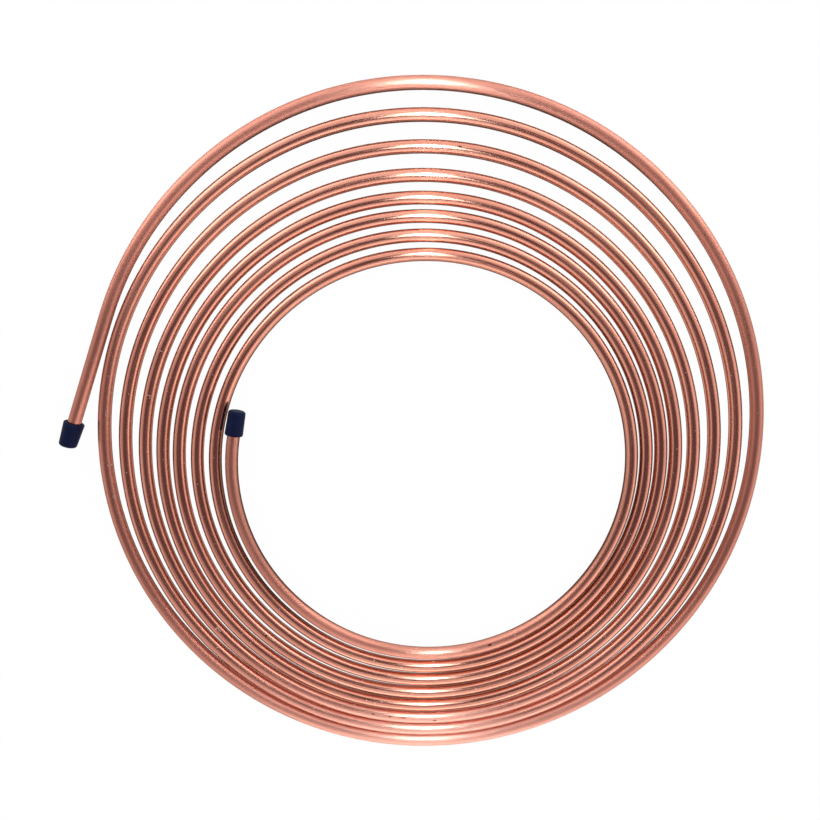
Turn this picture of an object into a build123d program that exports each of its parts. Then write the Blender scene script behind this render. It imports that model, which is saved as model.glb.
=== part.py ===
from build123d import *
import os
from math import cos, radians, sin

os.makedirs("parts", exist_ok=True)

# A loose flat coil of copper-nickel tube, lying on the floor, with a push-on cap on each end.
# The origin is on the floor at the centre of the coil's eye. The turns lie close at the front, -Y,
# fan out towards the back, +Y, and run outwards counter-clockwise as seen from above.

# Tube, nominal 5/16 inch
tube_diameter = 7.94
tube_wall = 0.89

# Coil: the gap between turns at the front, and how much wider it gets at the back, for the inner turns
# and for the outer ones, and how far the inner turns creep to the left, each turn
eye_diameter = 241.5
quarter_turns = 30
inner_front_gap = 1.4
outer_front_gap = 0.2
inner_fan = 1.85
outer_fan = 9.5
fan_start_turn = 3
fan_end_turn = 6
side_drift = 0.54

# Ends: each springs up off the floor from where the flat turns stop. The outer one runs off straight,
# past the turn inside it.
inner_end_sweep = 101
inner_end_clearance = 2.8
outer_end_gap = 1.3
outer_end_sweep = 70
outer_end_straight = 69.5
outer_end_clearance = 0.4

# Caps: the outer one's mouth has stretched a little wider
cap_depth = 13
cap_floor = 2.75
cap_clearance = 0.15
cap_tip_wall = 1.2
cap_tip_rounding = 1.6
cap_rim_rounding = 0.7
inner_cap_rim_wall = 1.5
outer_cap_rim_wall = 2

tube_radius = tube_diameter / 2
inner_turn_radius = eye_diameter / 2 + tube_radius
cap_bore_radius = tube_radius + cap_clearance


# A size that eases from its value in the inner turns to its value in the outer ones
def by_turn(turn, inner_size, outer_size):
    share = (turn - fan_start_turn) / (fan_end_turn - fan_start_turn)
    share = min(max(share, 0), 1)
    return inner_size + (outer_size - inner_size) * share**2 * (3 - 2 * share)


# How much the arc grows as the tube passes the front, right, back or left of its turn.
# Growing at the front moves the back of the turn outwards, and so on round.
def arc_growth(quarter):
    turn, side = divmod(quarter, 4)
    turn_pitch = tube_diameter + by_turn(turn, inner_front_gap, outer_front_gap)
    fan = by_turn(turn, inner_fan, outer_fan)
    creep = side_drift if turn < fan_start_turn else 0
    return turn_pitch / 4 + (fan / 2, creep, 0, -creep)[side]


# Flat turns: a chain of quarter arcs, each tangent to the one before it
front_start = Vector(0, -inner_turn_radius, tube_radius)
with BuildLine() as flat_turns:
    arcs = []
    point = front_start
    heading = Vector(1, 0, 0)
    radius = inner_turn_radius
    for quarter in range(quarter_turns):
        radius += arc_growth(quarter)
        arc = JernArc(point, heading, radius, 90)
        point = arc @ 1
        heading = arc % 1
        arcs.append(arc)


# An end's bend lies in a plane that is tipped about the line where it leaves the flat turns,
# by the slope that lifts the cap's rim clear of the floor
def end_slope(bend_radius, sweep, rim_wall, clearance):
    lift = cap_clearance + rim_wall + clearance
    return lift / (bend_radius * (1 - cos(radians(sweep))))


inner_slope = end_slope(inner_turn_radius, inner_end_sweep, inner_cap_rim_wall, inner_end_clearance)
with BuildLine(Plane(front_start, x_dir=(-1, 0, 0), z_dir=(0, -inner_slope, 1))) as inner_end:
    inner_bend = JernArc((0, 0), (1, 0), inner_turn_radius, -inner_end_sweep)
    inner_line = Line(inner_bend @ 1, inner_bend @ 1 + (inner_bend % 1) * cap_depth)

# The outer end's bend is as wide as brings its straight past the turn inside it, outer_end_gap away
passed_arc = arcs[-4]
passing_distance = passed_arc.radius + tube_diameter + outer_end_gap
straight_side = Vector(-sin(radians(outer_end_sweep)), cos(radians(outer_end_sweep)))
bend_reach = passing_distance - (point - passed_arc.arc_center).dot(straight_side)
outer_end_radius = bend_reach / (1 - cos(radians(outer_end_sweep)))

outer_slope = end_slope(outer_end_radius, outer_end_sweep, outer_cap_rim_wall, outer_end_clearance)
with BuildLine(Plane(point, x_dir=(-1, 0, 0), z_dir=(0, outer_slope, 1))) as outer_end:
    outer_bend = JernArc((0, 0), (1, 0), outer_end_radius, outer_end_sweep)
    outer_line = Line(outer_bend @ 1, outer_bend @ 1 + (outer_bend % 1) * (outer_end_straight + cap_depth))

centreline = Wire([*inner_end.edges(), *flat_turns.edges(), *outer_end.edges()])

with BuildPart() as coiled_tube:
    with BuildSketch(Plane(inner_line @ 1, z_dir=inner_line % 1)):
        Circle(tube_radius)
        Circle(tube_radius - tube_wall, mode=Mode.SUBTRACT)
    sweep(path=centreline)
coiled_tube.part.label = "coiled_tube"
export_step(coiled_tube.part, "parts/coiled_tube.step")


# A push-on cap's half section: its floor rests on the tube's cut end, and its skirt tapers to the tip
def cap_profile(tube_end, rim_wall):
    with BuildSketch(Plane(tube_end.origin, x_dir=tube_end.x_dir, z_dir=-tube_end.y_dir)) as profile:
        with BuildLine():
            Polyline(
                (0, 0),
                (cap_bore_radius, 0),
                (cap_bore_radius, -cap_depth),
                (cap_bore_radius + rim_wall, -cap_depth),
                (cap_bore_radius + cap_tip_wall, cap_floor),
                (0, cap_floor),
                close=True,
            )
        make_face()
        fillet(profile.vertices().group_by(Axis.Y)[-1].sort_by(Axis.X)[-1], cap_tip_rounding)
        fillet(profile.vertices().group_by(Axis.Y)[0].sort_by(Axis.X)[-1], cap_rim_rounding)
    return profile.sketch


inner_tip = Plane(inner_line @ 1, z_dir=inner_line % 1)
with BuildPart() as inner_end_cap:
    revolve(cap_profile(inner_tip, inner_cap_rim_wall), axis=Axis(inner_tip.origin, inner_tip.z_dir))
inner_end_cap.part.label = "inner_end_cap"
export_step(inner_end_cap.part, "parts/inner_end_cap.step")

outer_tip = Plane(outer_line @ 1, z_dir=outer_line % 1)
with BuildPart() as outer_end_cap:
    revolve(cap_profile(outer_tip, outer_cap_rim_wall), axis=Axis(outer_tip.origin, outer_tip.z_dir))
outer_end_cap.part.label = "outer_end_cap"
export_step(outer_end_cap.part, "parts/outer_end_cap.step")
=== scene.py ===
import math

import bmesh
import bpy
from mathutils import Matrix, Vector


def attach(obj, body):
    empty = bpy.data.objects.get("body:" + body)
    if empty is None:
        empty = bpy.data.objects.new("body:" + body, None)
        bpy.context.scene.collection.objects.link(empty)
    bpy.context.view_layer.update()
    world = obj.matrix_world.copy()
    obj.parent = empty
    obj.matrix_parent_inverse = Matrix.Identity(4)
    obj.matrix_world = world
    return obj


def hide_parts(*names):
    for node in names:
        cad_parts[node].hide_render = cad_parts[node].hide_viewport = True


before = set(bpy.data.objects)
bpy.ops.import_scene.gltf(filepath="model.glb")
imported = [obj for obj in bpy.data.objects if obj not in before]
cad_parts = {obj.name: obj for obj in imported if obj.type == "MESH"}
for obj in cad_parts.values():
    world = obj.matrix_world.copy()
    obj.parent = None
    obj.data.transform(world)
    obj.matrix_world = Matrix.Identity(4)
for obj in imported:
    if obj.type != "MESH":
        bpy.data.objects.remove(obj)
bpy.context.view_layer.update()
mm = 0.001
print("frame loaded:", sorted(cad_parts))


# One socket that takes part in Python maths, on any node tree
class Wire:
    def __init__(self, board, socket):
        self.board = board
        self.socket = socket

    def maths(self, operation, *values):
        node = self.board.tree.nodes.new("ShaderNodeMath")
        node.operation = operation
        for slot, value in zip(node.inputs, values):
            self.board.feed(slot, value)
        return Wire(self.board, node.outputs[0])

    def __add__(self, other):
        return self.maths("ADD", self, other)

    def __radd__(self, other):
        return self.maths("ADD", other, self)

    def __sub__(self, other):
        return self.maths("SUBTRACT", self, other)

    def __rsub__(self, other):
        return self.maths("SUBTRACT", other, self)

    def __mul__(self, other):
        return self.maths("MULTIPLY", self, other)

    def __rmul__(self, other):
        return self.maths("MULTIPLY", other, self)

    def __truediv__(self, other):
        return self.maths("DIVIDE", self, other)

    def __rtruediv__(self, other):
        return self.maths("DIVIDE", other, self)

    def atLeast(self, other):
        return self.maths("MAXIMUM", self, other)


# A node tree; add() makes any node from its type, its settings, and its sockets' values or links
class Board:
    def __init__(self, tree):
        self.tree = tree
        tree.nodes.clear()

    def feed(self, slot, value):
        if isinstance(value, Wire):
            self.tree.links.new(value.socket, slot)
        else:
            slot.default_value = value

    def add(self, kind, settings=None, sockets=None, out=0):
        node = self.tree.nodes.new(kind)
        for name, value in (settings or {}).items():
            if name == "captures":
                for label, dataType in value.items():
                    node.capture_items.new(dataType, label)
            else:
                setattr(node, name, value)
        for name, value in (sockets or {}).items():
            self.feed(node.inputs[name], value)
        if not node.outputs:
            return node
        return Wire(self, node.outputs[out])

    # eases from one value to another as the input passes between two limits
    def ramp(self, value, low, high, start=0.0, end=1.0):
        settings = {"interpolation_type": "SMOOTHSTEP"}
        sockets = {"Value": value, "From Min": low, "From Max": high, "To Min": start, "To Max": end}
        return self.add("ShaderNodeMapRange", settings, sockets)

    # a Mix node repeats its socket names, so its colour sockets go by number
    def mixColour(self, mask, below, above):
        return self.add("ShaderNodeMix", {"data_type": "RGBA"}, {0: mask, 6: below, 7: above}, out=2)

    def part(self, vector, axis):
        return self.add("ShaderNodeSeparateXYZ", None, {"Vector": vector}, out=axis)

    def stretch(self, vector, factors):
        return self.add("ShaderNodeVectorMath", {"operation": "MULTIPLY"}, {0: vector, 1: factors})

    def noise(self, vector, factors, detail):
        sockets = {"Vector": self.stretch(vector, factors), "Scale": 1.0, "Detail": detail}
        return self.add("ShaderNodeTexNoise", None, sockets)

    def cells(self, vector, factors, out):
        sockets = {"Vector": self.stretch(vector, factors), "Scale": 1.0}
        return self.add("ShaderNodeTexVoronoi", {"feature": "F1"}, sockets, out)


def newMaterial(name):
    material = bpy.data.materials.new(name)
    material.use_nodes = True
    board = Board(material.node_tree)
    return material, board


def finishMaterial(board, surface):
    board.add("ShaderNodeOutputMaterial", None, {"Surface": surface})


# Copper-nickel: drawn bright, gone matte on the handled stretches next to the two ends
copperNickel = {
    "bright": (0.76, 0.335, 0.24, 1.0),
    "brown": (0.66, 0.27, 0.19, 1.0),
    "matte": (0.74, 0.303, 0.222, 1.0),
    # painted light: the rubbed front turns get a lighter colour that stands in for the light on them
    "rubbedAndLit": (0.88, 0.41, 0.315, 1.0),
    # painted shade on the undersides and between the turns
    "paintedShade": (0.16, 0.066, 0.048, 1.0),
    "pit": (0.03, 0.015, 0.012, 1.0),
    "speck": (0.95, 0.66, 0.56, 1.0),
    # the mirror colour at a glancing angle, which gives the tube its dark outlines
    "edgeTint": (0.05, 0.12, 0.13, 1.0),
    "brightRoughness": 0.14,
    "matteRoughness": 0.29,
    "rubbedMatte": 0.7,  # how far towards matte the rubbed turns go
    # how much rougher each of these is than the skin round it
    "lineRoughness": 0.24,
    "mottleRoughness": 0.02,
    "speckRoughness": 0.35,
    "undersideRoughness": 0.2,
    # the drawing lines run along the tube
    "anisotropy": 1.0,
    "anisotropyTurn": 0.25,
    # repeats per metre, along the tube and across it, and the limits that pick the pattern out
    "cloudRepeats": (9, 120, 120),
    "cloudEdge": (0.38, 0.66),
    "mottleRepeats": (500, 900, 900),
    "mottleEdge": (0.5, 0.75),
    "lineRepeats": (14, 4200, 4200),
    "lineEdge": (0.53, 0.70),
    "waveRepeats": (22, 420, 420),
    "speckRepeats": (260, 260, 260),
    "speckEdge": (0.07, 0.12),
    "speckChance": (0.35, 0.4),
    "markEdge": (0.3, 0.55),
    # how much brown the clouds and the mottle bring in
    "cloudShare": 0.7,
    "mottleShare": 0.1,
    # metres from the inner end, where each of these starts or stops
    "innerMatte": (0.15, 0.50),
    "outerMatte": (6.85, 7.25),
    "innermostTurn": (0.95, 1.15),
    "rubbedLitTurns": (3.8, 5.2),
    # metres towards the back, where each of these starts or stops
    "rubbedLitFront": (-0.1, -0.19),
    "eyeFront": (-0.13, -0.07),
    "speckBack": (0.05, 0.13),
    "darkBack": (0.12, 0.22),
    # how far the surface faces up where the painted shade on the underside ends, and how far that edge is
    # moved
    "paintedShadeEdge": (-0.35, 0.15),
    "backShade": 0.55,
    "eyeShade": 0.5,
    "litFrontShadeCut": 0.4,
    # slight waves in the tube, with the scratches standing out of them
    "bumpStrength": 0.10,
    "bumpDistance": 0.0002,
    "scratchHeight": 0.3,
    # metres from the inner end, degrees round the section (-90 is up, -180 in), millimetres along and round
    "scratches": [
        {"along": 4.670, "turned": -94, "length": 0.8, "width": 3.2},
        {"along": 4.699, "turned": -104, "length": 0.7, "width": 3.6},
        {"along": 4.700, "turned": -112, "length": 2.2, "width": 0.6},
        {"along": 4.862, "turned": -112, "length": 1.0, "width": 4.0},
        {"along": 4.864, "turned": -118, "length": 4.0, "width": 0.7},
        {"along": 2.801, "turned": -130, "length": 1.6, "width": 1.0},
        {"along": 5.850, "turned": -112, "length": 0.9, "width": 0.9},
        {"along": 5.899, "turned": -104, "length": 1.0, "width": 0.9},
        {"along": 7.096, "turned": -124, "length": 4.0, "width": 0.8},
        {"along": 7.128, "turned": -126, "length": 1.3, "width": 1.0},
        {"along": 7.128, "turned": -156, "length": 1.5, "width": 1.2},
        {"along": 7.148, "turned": -128, "length": 2.8, "width": 1.6},
    ],
    "pits": [
        {"along": 0.273, "turned": -112, "length": 3.2, "width": 1.2},
        {"along": 1.946, "turned": -112, "length": 2.6, "width": 1.2},
        {"along": 2.795, "turned": -122, "length": 2.0, "width": 1.2},
        {"along": 4.986, "turned": -112, "length": 2.4, "width": 0.9},
        {"along": 4.997, "turned": -112, "length": 2.2, "width": 0.9},
        {"along": 5.006, "turned": -112, "length": 2.6, "width": 0.9},
        {"along": 5.026, "turned": -88, "length": 2.6, "width": 1.1},
        {"along": 5.575, "turned": -86, "length": 2.6, "width": 0.9},
    ],
}


# A mask of small marks, each at its own place on the straight tube
def markMask(board, straight, marks):
    mask = None
    radius = tube["diameter"] / 2 * mm
    for mark in marks:
        angle = math.radians(mark["turned"])
        place = (mark["along"], math.cos(angle) * radius, math.sin(angle) * radius)
        offset = board.add("ShaderNodeVectorMath", {"operation": "SUBTRACT"}, {0: straight, 1: place})
        perSize = (1 / (mark["length"] * mm), 1 / (mark["width"] * mm), 1 / (mark["width"] * mm))
        offset = board.stretch(offset, perSize)
        distance = board.add("ShaderNodeVectorMath", {"operation": "LENGTH"}, {0: offset}, out="Value")
        spot = board.ramp(distance, *copperNickel["markEdge"], 1.0, 0.0)
        mask = spot if mask is None else mask.atLeast(spot)
    return mask


def makeCopperNickel():
    look = copperNickel
    material, board = newMaterial("copper_nickel_drawn")
    straight = board.add("ShaderNodeAttribute", {"attribute_name": "straight"}, None, out="Vector")
    facing = board.add("ShaderNodeAttribute", {"attribute_name": "facing"}, None, out="Fac")
    along = board.part(straight, "X")
    place = board.add("ShaderNodeTexCoord", None, None, out="Object")
    depth = board.part(place, "Y")
    matte = board.ramp(along, *look["innerMatte"], 1.0, 0.0) + board.ramp(along, *look["outerMatte"])
    # painted light: the front turns in the middle of the coil are coloured lighter and get less painted
    # shade; they are also made rougher, as rubbed
    rubbedAndLit = board.ramp(depth, *look["rubbedLitFront"]) * board.ramp(along, *look["rubbedLitTurns"])

    clouds = board.noise(straight, look["cloudRepeats"], detail=3.0)
    mottle = board.noise(straight, look["mottleRepeats"], detail=2.0)
    lines = board.ramp(board.noise(straight, look["lineRepeats"], detail=2.0), *look["lineEdge"])
    tarnish = board.ramp(clouds, *look["cloudEdge"]) * look["cloudShare"]
    tarnish = tarnish + board.ramp(mottle, *look["mottleEdge"]) * look["mottleShare"]
    colour = board.mixColour(tarnish, look["bright"], look["brown"])
    colour = board.mixColour(matte, colour, look["matte"])
    colour = board.mixColour(rubbedAndLit, colour, look["rubbedAndLit"])

    # random specks, except at the back, and the scratches and pits that have places of their own
    distance = board.cells(straight, look["speckRepeats"], "Distance")
    cellColour = board.cells(straight, look["speckRepeats"], "Color")
    chance = board.add("ShaderNodeSeparateColor", None, {"Color": cellColour})
    specks = board.ramp(distance, *look["speckEdge"], 1.0, 0.0)
    specks = specks * board.ramp(chance, *look["speckChance"])
    specks = specks * board.ramp(depth, *look["speckBack"], 1.0, 0.0)
    scratches = markMask(board, straight, look["scratches"])
    specks = specks.atLeast(scratches)
    colour = board.mixColour(specks, colour, look["speck"])
    pits = markMask(board, straight, look["pits"])
    colour = board.mixColour(pits, colour, look["pit"])

    # painted shade: the underside is coloured dark and made duller, most at the back and round the eye,
    # where the innermost turn shades the next; the painted light on the front keeps it brighter there
    backShade = board.ramp(depth, *look["darkBack"]) * look["backShade"]
    innermostShadow = board.ramp(along, *look["innermostTurn"], 1.0, 0.0) * board.ramp(depth, *look["eyeFront"])
    shade = backShade.atLeast(innermostShadow * look["eyeShade"])
    lit = facing + rubbedAndLit * look["litFrontShadeCut"] - shade
    paintedShade = board.ramp(lit, *look["paintedShadeEdge"], 1.0, 0.0)
    colour = board.mixColour(paintedShade, colour, look["paintedShade"])

    dulled = matte.atLeast(rubbedAndLit * look["rubbedMatte"])
    roughness = look["brightRoughness"] + dulled * (look["matteRoughness"] - look["brightRoughness"])
    roughness = roughness + lines * look["lineRoughness"] + (mottle - 0.5) * look["mottleRoughness"]
    roughness = roughness + specks * look["speckRoughness"] + paintedShade * look["undersideRoughness"]

    waves = board.noise(straight, look["waveRepeats"], detail=1.0)
    bump = board.add("ShaderNodeBump", None, {
        "Strength": look["bumpStrength"],
        "Distance": look["bumpDistance"],
        "Height": waves + scratches * look["scratchHeight"],
    })
    metal = board.add("ShaderNodeBsdfPrincipled", None, {
        "Base Color": colour,
        "Metallic": 1.0,
        "Roughness": roughness,
        "Anisotropic": look["anisotropy"],
        "Anisotropic Rotation": look["anisotropyTurn"],
        "Specular Tint": look["edgeTint"],
        "Normal": bump,
    })
    finishMaterial(board, metal)
    return material


# Cap vinyl: dip-moulded, dark navy, satin
capVinyl = {
    "navy": (0.0027, 0.0052, 0.027, 1.0),
    "scuffed": (0.005, 0.009, 0.04, 1.0),
    "cloudRepeats": (320, 320, 320),
    "grainRepeats": (2600, 2600, 2600),
    "scuffEdge": (0.45, 0.75),
    "roughness": 0.55,
    "scuffRoughness": 0.12,
    "gloss": 0.09,
    "bumpStrength": 0.15,
    "bumpDistance": 0.0001,
}


def makeCapVinyl():
    look = capVinyl
    material, board = newMaterial("cap_vinyl_moulded")
    place = board.add("ShaderNodeTexCoord", None, None, out="Object")
    clouds = board.noise(place, look["cloudRepeats"], detail=4.0)
    grain = board.noise(place, look["grainRepeats"], detail=2.0)
    scuffs = board.ramp(clouds, *look["scuffEdge"])
    colour = board.mixColour(scuffs, look["navy"], look["scuffed"])
    bump = board.add("ShaderNodeBump", None, {
        "Strength": look["bumpStrength"],
        "Distance": look["bumpDistance"],
        "Height": grain + clouds,
    })
    vinyl = board.add("ShaderNodeBsdfPrincipled", None, {
        "Base Color": colour,
        "Roughness": look["roughness"] + scuffs * look["scuffRoughness"],
        "Specular IOR Level": look["gloss"],
        "Normal": bump,
    })
    finishMaterial(board, vinyl)
    return material


# The coiled tube, with the solid's own sizes, in millimetres and degrees
tube = {
    "diameter": 7.94,
    "eyeDiameter": 241.5,
    "quarterTurns": 30,
    "innerFrontGap": 1.4,
    "outerFrontGap": 0.2,
    "innerFan": 1.85,
    "outerFan": 9.5,
    "fanStartTurn": 3,
    "fanEndTurn": 6,
    "sideDrift": 0.54,
    "innerEndSweep": 101,
    "innerEndLift": 4.45,
    "outerEndGap": 1.3,
    "outerEndSweep": 70,
    "outerEndStraight": 69.5,
    "outerEndLift": 2.55,
    "linesCentre": (-1.5, 10, 0),
    "linesReach": (250, 250, 250),
    "stepsPerBend": 48,
    "sides": 40,
}


# A chain of tangent bends, kept as Bezier knots: place, handle before, handle after
class Route:
    def __init__(self, start, heading):
        self.knots = [[start, start, start]]
        self.heading = heading

    def bend(self, radius, sweep, normal):
        start = self.knots[-1][0]
        side = normal.cross(self.heading) * math.copysign(1, sweep)
        turn = Matrix.Rotation(math.radians(sweep), 3, normal)
        centre = start + side * radius
        end = centre + turn @ (start - centre)
        reach = 4 / 3 * math.tan(math.radians(abs(sweep)) / 4) * radius
        self.knots[-1][2] = start + self.heading * reach
        self.heading = turn @ self.heading
        self.knots.append([end, end - self.heading * reach, end])
        return centre

    def run(self, length):
        start = self.knots[-1][0]
        end = start + self.heading * length
        self.knots[-1][2] = start + (end - start) / 3
        self.knots.append([end, end - (end - start) / 3, end])


# Eases a size from the inner turns' to the outer turns'
def byTurn(turn, innerSize, outerSize):
    share = (turn - tube["fanStartTurn"]) / (tube["fanEndTurn"] - tube["fanStartTurn"])
    share = min(max(share, 0), 1)
    return innerSize + (outerSize - innerSize) * share**2 * (3 - 2 * share)


# How much a quarter bend's radius grows on the one before it
def bendGrowth(quarter):
    turn, side = divmod(quarter, 4)
    pitch = tube["diameter"] + byTurn(turn, tube["innerFrontGap"], tube["outerFrontGap"])
    fan = byTurn(turn, tube["innerFan"], tube["outerFan"])
    creep = tube["sideDrift"] if turn < tube["fanStartTurn"] else 0
    return pitch / 4 + (fan / 2, creep, 0, -creep)[side]


def tubeRoute():
    up = Vector((0, 0, 1))
    innerRadius = (tube["eyeDiameter"] + tube["diameter"]) / 2
    frontStart = Vector((0, -innerRadius, tube["diameter"] / 2))
    flat = Route(frontStart, Vector((1, 0, 0)))
    radius = innerRadius
    centres = []
    radii = []
    for quarter in range(tube["quarterTurns"]):
        radius += bendGrowth(quarter)
        radii.append(radius)
        centres.append(flat.bend(radius, 90, up))

    # the outer end's straight passes the turn inside it
    sweep = math.radians(tube["outerEndSweep"])
    straightSide = Vector((-math.sin(sweep), math.cos(sweep), 0))
    passing = radii[-4] + tube["diameter"] + tube["outerEndGap"]
    reach = passing - (flat.knots[-1][0] - centres[-4]).dot(straightSide)
    outerRadius = reach / (1 - math.cos(sweep))
    slope = tube["outerEndLift"] / reach
    flat.bend(outerRadius, tube["outerEndSweep"], Vector((0, slope, 1)).normalized())
    flat.run(tube["outerEndStraight"] + caps["depth"])

    # the inner end leaves the front the other way
    inner = Route(frontStart, Vector((-1, 0, 0)))
    slope = tube["innerEndLift"] / (innerRadius * (1 - math.cos(math.radians(tube["innerEndSweep"]))))
    inner.bend(innerRadius, -tube["innerEndSweep"], Vector((0, -slope, 1)).normalized())
    inner.run(caps["depth"])

    backwards = [[place, after, before] for place, before, after in reversed(inner.knots)]
    flat.knots[0][1] = backwards[-1][1]
    return backwards[:-1] + flat.knots, inner, flat


def newObject(name, data):
    made = bpy.data.objects.new(name, data)
    bpy.context.scene.collection.objects.link(made)
    return made


# Hands back the geometry and a field that keeps the value through later nodes
def capture(board, geometry, name, dataType, value):
    settings = {"captures": {name: dataType}}
    caught = board.add("GeometryNodeCaptureAttribute", settings, {"Geometry": geometry, name: value})
    return caught, Wire(board, caught.socket.node.outputs[name])


def store(board, geometry, name, dataType, value):
    settings = {"data_type": dataType, "domain": "POINT"}
    sockets = {"Geometry": geometry, "Name": name, "Value": value}
    return board.add("GeometryNodeStoreNamedAttribute", settings, sockets)


# Geometry Nodes: sweeps a round section along the route and keeps each point's place on the straight tube
def sweepTree():
    tree = bpy.data.node_groups.new("tube_sweep", "GeometryNodeTree")
    board = Board(tree)
    sockets = tree.interface
    sockets.new_socket("Geometry", in_out="INPUT", socket_type="NodeSocketGeometry")
    sockets.new_socket("Diameter", in_out="INPUT", socket_type="NodeSocketFloat")
    sockets.new_socket("Steps per bend", in_out="INPUT", socket_type="NodeSocketInt")
    sockets.new_socket("Sides", in_out="INPUT", socket_type="NodeSocketInt")
    sockets.new_socket("Finish", in_out="INPUT", socket_type="NodeSocketMaterial")
    sockets.new_socket("Geometry", in_out="OUTPUT", socket_type="NodeSocketGeometry")

    entry = board.add("NodeGroupInput")
    given = {slot.name: Wire(board, slot) for slot in entry.socket.node.outputs}
    path = board.add("GeometryNodeSetSplineResolution", None, {
        "Geometry": given["Geometry"],
        "Resolution": given["Steps per bend"],
    })
    length = board.add("GeometryNodeSplineParameter", None, None, out="Length")
    path, along = capture(board, path, "Along", "FLOAT", length)

    section = board.add("GeometryNodeCurvePrimitiveCircle", None, {
        "Resolution": given["Sides"],
        "Radius": given["Diameter"] / 2,
    })
    place = board.add("GeometryNodeInputPosition")
    section, around = capture(board, section, "Around", "VECTOR", place)

    skin = board.add("GeometryNodeCurveToMesh", None, {
        "Curve": path,
        "Profile Curve": section,
        "Fill Caps": True,
    })
    straight = board.add("ShaderNodeCombineXYZ", None, {
        "X": along,
        "Y": board.part(around, "X"),
        "Z": board.part(around, "Y"),
    })
    skin = store(board, skin, "straight", "FLOAT_VECTOR", straight)
    facing = board.part(board.add("GeometryNodeInputNormal"), "Z")
    skin = store(board, skin, "facing", "FLOAT", facing)
    skin = board.add("GeometryNodeSetShadeSmooth", None, {"Geometry": skin})
    skin = board.add("GeometryNodeRealizeInstances", None, {"Geometry": skin})
    skin = board.add("GeometryNodeSetMaterial", None, {"Geometry": skin, "Material": given["Finish"]})
    board.add("NodeGroupOutput", None, {"Geometry": skin})
    return tree


# Runs a tree on an object and hands back the result as a plain mesh object
def grow(name, data, tree, values):
    seed = newObject(name + "_seed", data)
    modifier = seed.modifiers.new("grow", "NODES")
    modifier.node_group = tree
    for item in tree.interface.items_tree:
        if item.item_type == "SOCKET" and item.in_out == "INPUT" and item.name in values:
            modifier[item.identifier] = values[item.name]
    graph = bpy.context.evaluated_depsgraph_get()
    grown = seed.evaluated_get(graph)
    mesh = bpy.data.meshes.new_from_object(grown, preserve_all_data_layers=True, depsgraph=graph)
    mesh.name = name
    seed.modifiers.clear()
    bpy.data.objects.remove(seed)
    return newObject(name, mesh)


def makeTube(finish):
    knots, inner, outer = tubeRoute()
    curve = bpy.data.curves.new("tube_route", "CURVE")
    curve.dimensions = "3D"
    spline = curve.splines.new("BEZIER")
    spline.bezier_points.add(len(knots) - 1)
    for point, (place, before, after) in zip(spline.bezier_points, knots):
        point.handle_left_type = "FREE"
        point.handle_right_type = "FREE"
        point.co = place * mm
        point.handle_left = before * mm
        point.handle_right = after * mm
    piece = grow("coiled_tube_drawn", curve, sweepTree(), {
        "Diameter": tube["diameter"] * mm,
        "Steps per bend": tube["stepsPerBend"],
        "Sides": tube["sides"],
        "Finish": finish,
    })
    # the drawing lines run round this centre
    piece.data.use_auto_texspace = False
    piece.data.texspace_location = Vector(tube["linesCentre"]) * mm
    piece.data.texspace_size = Vector(tube["linesReach"]) * mm
    print("tube swept:", len(piece.data.polygons), "faces")
    return piece, inner, outer


# The end caps, with the solids' own sizes, in millimetres
caps = {
    "depth": 13,
    "floor": 2.75,
    "clearance": 0.15,
    "tipWall": 1.2,
    "tipRounding": 1.6,
    "rimRounding": 0.7,
    "innerRimWall": 1.5,
    "outerRimWall": 2,
    "lipSteps": 6,
    "skirtSteps": 8,
    "tipSteps": 8,
    "sides": 72,
}


# A cap's half section, from the middle of its inner floor round the mouth to the middle of its tip
def capSection(rimWall):
    bore = tube["diameter"] / 2 + caps["clearance"]
    rim = bore + rimWall
    tip = bore + caps["tipWall"]
    rounding = caps["tipRounding"]
    lip = caps["rimRounding"]
    mouth = lip - caps["depth"]
    shoulder = caps["floor"] - rounding
    section = [(0, 0), (bore / 2, 0), (bore, 0), (bore, -caps["depth"] / 2)]
    for step in range(caps["lipSteps"] + 1):
        angle = math.pi * (1 - step / caps["lipSteps"])
        middle = (bore + rim) / 2
        section.append((middle + math.cos(angle) * (rim - bore) / 2, mouth - math.sin(angle) * lip))
    for step in range(1, caps["skirtSteps"]):
        share = step / caps["skirtSteps"]
        section.append((rim + (tip - rim) * share, mouth + (shoulder - mouth) * share))
    for step in range(caps["tipSteps"] + 1):
        angle = math.pi / 2 * step / caps["tipSteps"]
        section.append((tip - rounding + math.cos(angle) * rounding, shoulder + math.sin(angle) * rounding))
    section.append(((tip - rounding) / 2, caps["floor"]))
    section.append((0, caps["floor"]))
    return section


def makeCap(name, end, rimWall, finish):
    place = end.knots[-1][0]
    axis = end.heading.normalized()
    across = axis.cross(Vector((0, 0, 1))).normalized()
    rise = across.cross(axis)
    sides = caps["sides"]
    made = bmesh.new()
    rings = []
    for radius, height in capSection(rimWall):
        ring = []
        for side in range(sides if radius > 0 else 1):
            angle = 2 * math.pi * side / sides
            spoke = across * math.cos(angle) + rise * math.sin(angle)
            ring.append(made.verts.new((place + axis * height + spoke * radius) * mm))
        rings.append(ring)
    for first, second in zip(rings, rings[1:]):
        for side in range(sides):
            after = (side + 1) % sides
            corners = [first[side % len(first)], first[after % len(first)]]
            corners += [second[after % len(second)], second[side % len(second)]]
            made.faces.new(list(dict.fromkeys(corners)))
    bmesh.ops.recalc_face_normals(made, faces=made.faces)
    for face in made.faces:
        face.smooth = True
    mesh = bpy.data.meshes.new(name)
    made.to_mesh(mesh)
    made.free()
    mesh.materials.append(finish)
    return newObject(name, mesh)


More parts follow.
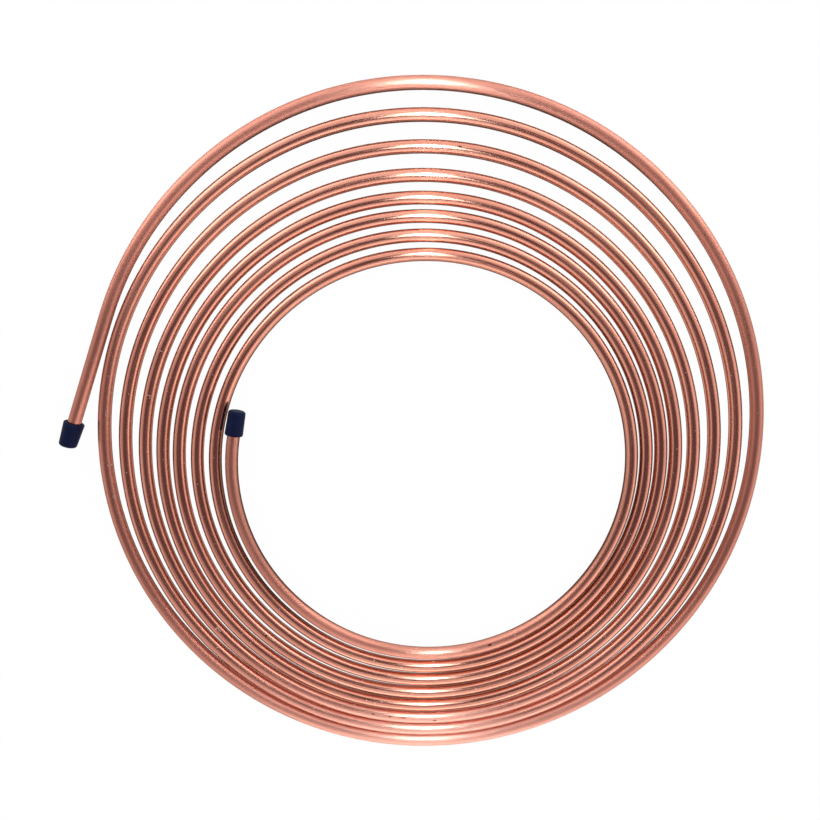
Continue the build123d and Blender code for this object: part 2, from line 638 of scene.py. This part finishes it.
copperFinish = makeCopperNickel()
vinylFinish = makeCapVinyl()
tubePiece, innerEnd, outerEnd = makeTube(copperFinish)
innerCap = makeCap("inner_end_cap_moulded", innerEnd, caps["innerRimWall"], vinylFinish)
outerCap = makeCap("outer_end_cap_moulded", outerEnd, caps["outerRimWall"], vinylFinish)
print("caps moulded")

for piece, node, slot in (
    (tubePiece, "coiled_tube", "copper_nickel"),
    (innerCap, "inner_end_cap", "cap_vinyl"),
    (outerCap, "outer_end_cap", "cap_vinyl"),
):
    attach(piece, "root")
    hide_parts(node)


# Floor: white to the camera and in reflections, with a trace of the object's shadow
floor = {"size": 8000, "white": (0.86, 0.86, 0.86, 1.0), "glow": 0.98}


def makeFloor():
    material, board = newMaterial("floor_white")
    path = board.add("ShaderNodeLightPath")
    seen = {slot.name: Wire(board, slot) for slot in path.socket.node.outputs}
    shown = seen["Is Camera Ray"].atLeast(seen["Is Glossy Ray"]).atLeast(seen["Is Transmission Ray"])
    paint = board.add("ShaderNodeBsdfDiffuse", None, {"Color": floor["white"]})
    glow = board.add("ShaderNodeEmission", None, {"Color": (1, 1, 1, 1), "Strength": 1.0})
    surface = board.add("ShaderNodeMixShader", None, {0: shown * floor["glow"], 1: paint, 2: glow})
    finishMaterial(board, surface)
    half = floor["size"] / 2 * mm
    mesh = bpy.data.meshes.new("floor")
    corners = [(-half, -half, 0), (half, -half, 0), (half, half, 0), (-half, half, 0)]
    mesh.from_pydata(corners, [], [(0, 1, 2, 3)])
    mesh.materials.append(material)
    newObject("floor", mesh)


# Light: a bright key panel over the camera, and soft panels round a dark gap overhead, in millimetres
lights = {
    "key": {"x": (-1, 15), "y": (90, 290), "level": 34, "colour": (0.75, 1.0, 1.1)},
    "keyGlow": {"x": (-21, 35), "y": (60, 290), "level": 6, "colour": (0.8, 1.0, 1.05), "height": 442},
    "backNear": {"x": (-260, 260), "y": (300, 430), "level": 1.05},
    "backMiddle": {"x": (-300, 300), "y": (430, 2600), "level": 0.95},
    "backLeft": {"x": (-700, -300), "y": (360, 2600), "level": 1.65},
    "backRight": {"x": (300, 700), "y": (360, 2600), "level": 1.55},
    "farLeft": {"x": (-2600, -700), "y": (500, 2600), "level": 3.2},
    "farRight": {"x": (700, 2600), "y": (500, 2600), "level": 3.7},
    "nearLeft": {"x": (-400, -120), "y": (90, 300), "level": 0.42},
    "nearRight": {"x": (140, 430), "y": (90, 300), "level": 0.38},
    "left": {"x": (-2600, -440), "y": (-330, 360), "level": 0.5},
    "right": {"x": (440, 2600), "y": (-280, 360), "level": 0.88},
    "frontLeft": {"x": (-2000, -330), "y": (-2600, -330), "level": 0.65},
    "frontMiddle": {"x": (-330, 280), "y": (-2600, -420), "level": 0.95},
    "frontRight": {"x": (280, 2000), "y": (-2600, -280), "level": 1.2},
    "nearFront": {"x": (-60, 80), "y": (-420, -190), "level": 0.95},
    "nearFrontLeft": {"x": (-350, -60), "y": (-420, -190), "level": 0.5},
    "nearFrontRight": {"x": (80, 350), "y": (-420, -190), "level": 0.5},
    "lowFront": {"x": (-240, 260), "y": (-900, -430), "level": 1.6, "height": 200},
}
panelHeight = 440
room = {"horizon": (0.55, 0.55, 0.55, 1.0), "overhead": (0.145, 0.107, 0.124, 1.0), "edge": (0.25, 0.75)}


def makeLights():
    for name, panel in lights.items():
        lamp = bpy.data.lights.new(name + "_panel", "AREA")
        lamp.shape = "RECTANGLE"
        lamp.size = (panel["x"][1] - panel["x"][0]) * mm
        lamp.size_y = (panel["y"][1] - panel["y"][0]) * mm
        lamp.color = panel.get("colour", (1.0, 1.0, 1.0))
        # the power that makes the panel shine at its level
        lamp.energy = panel["level"] * math.pi * lamp.size * lamp.size_y
        made = newObject(name + "_panel", lamp)
        height = panel.get("height", panelHeight)
        made.location = Vector((sum(panel["x"]) / 2, sum(panel["y"]) / 2, height)) * mm
        made.visible_camera = False

    world = bpy.data.worlds.new("room")
    bpy.context.scene.world = world
    world.use_nodes = True
    board = Board(world.node_tree)
    direction = board.add("ShaderNodeTexCoord", None, None, out="Generated")
    upward = board.ramp(board.part(direction, "Z"), *room["edge"])
    colour = board.mixColour(upward, room["horizon"], room["overhead"])
    sky = board.add("ShaderNodeBackground", None, {"Color": colour, "Strength": 1.0})
    board.add("ShaderNodeOutputWorld", None, {"Surface": sky})


# Camera: nearly straight down, from the side where the turns fan out
view = {
    "aim": (-12.5, 38.96, 3.97),
    "tilt": 9,
    "distance": 413.4,
    "lens": 28.976,
    "sensor": 36,
    "nearest": 10,
}


def makeCamera():
    camera = bpy.data.cameras.new("photo_camera")
    camera.sensor_width = view["sensor"]
    camera.lens = view["lens"]
    camera.clip_start = view["nearest"] * mm
    made = newObject("photo_camera", camera)
    tilt = math.radians(view["tilt"])
    towards = Vector((0, math.sin(tilt), math.cos(tilt)))
    made.location = (Vector(view["aim"]) + towards * view["distance"]) * mm
    made.rotation_euler = (-tilt, 0, 0)
    bpy.context.scene.camera = made


makeFloor()
makeLights()
makeCamera()
bpy.context.scene.view_settings.view_transform = "Standard"
print("stage set")
